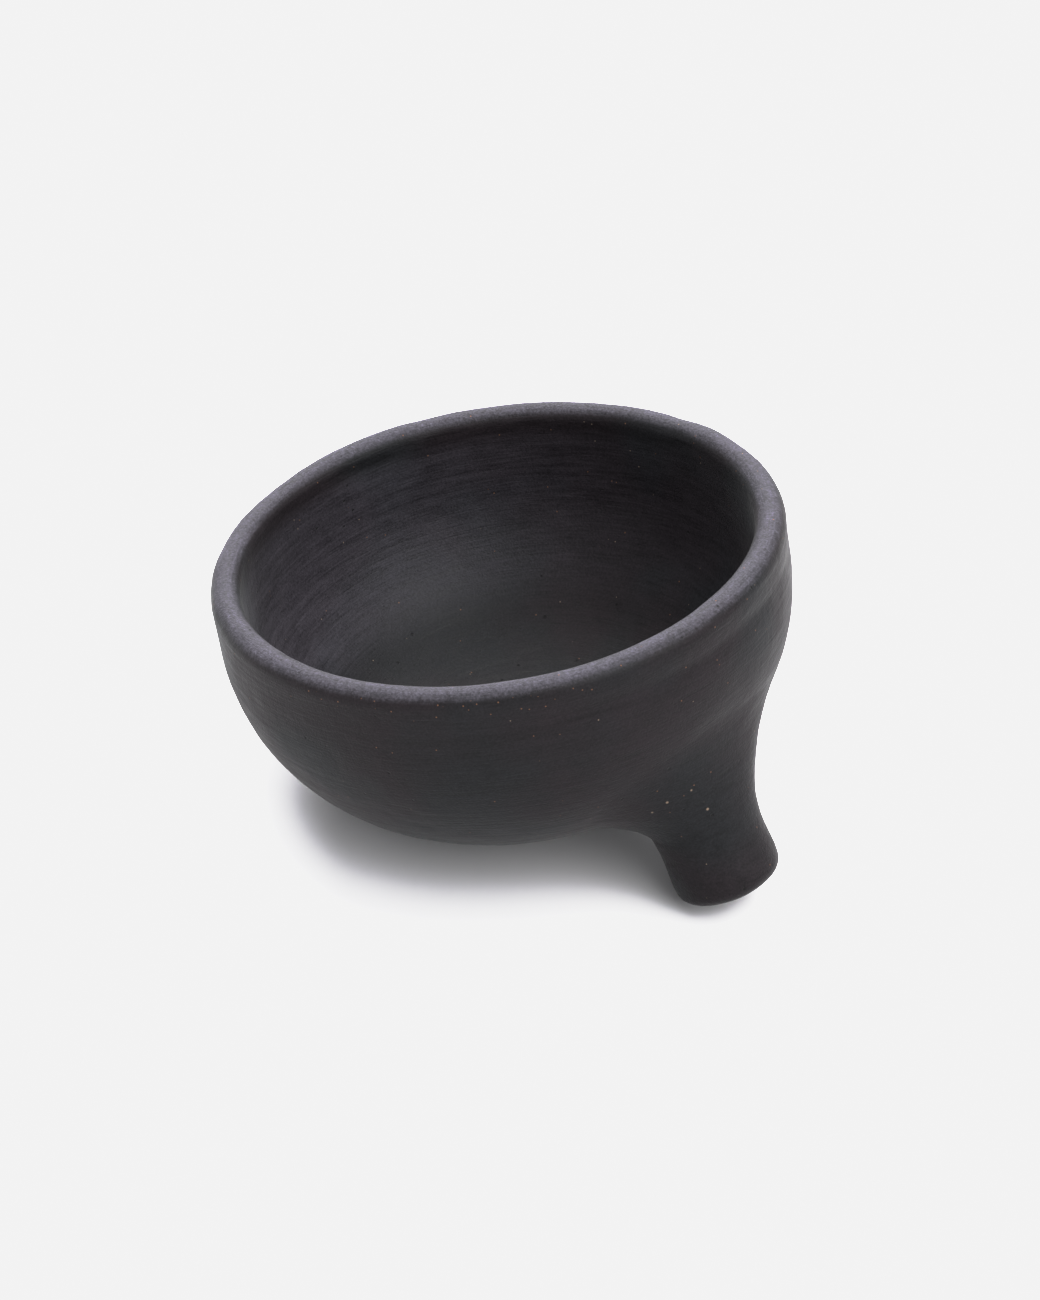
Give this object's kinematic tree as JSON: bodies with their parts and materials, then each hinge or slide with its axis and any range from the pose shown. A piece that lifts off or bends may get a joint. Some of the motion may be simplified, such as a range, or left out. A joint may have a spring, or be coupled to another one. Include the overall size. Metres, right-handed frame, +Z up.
{
  "type": "molcajete",
  "caption": "Hand-built black clay mortar: a deep round bowl with a thick rounded lip, leaning on its rounded belly and one stout splayed leg.",
  "frame": {"origin": "middle of the small flat that the belly stands on, on the table", "axes": "+Z up from the table, +X towards the leg; the XZ plane is the mirror plane"},
  "size_m": [0.1558, 0.14, 0.0826],
  "materials": {
    "black_clay": "matt, smoke-fired, lightly burnished",
    "rim_clay": "matt, finely pitted by wear",
    "clay_slip": "matt, fine-grained"
  },
  "bodies": {
    "root": {"base_cup": "black_clay", "lower_wall_coil": "black_clay", "upper_wall_coil": "black_clay", "rim_coil": "rim_clay", "leg": "black_clay", "leg_slip": "clay_slip", "leg_joint_coil": "black_clay"}
  },
  "joints": []
}
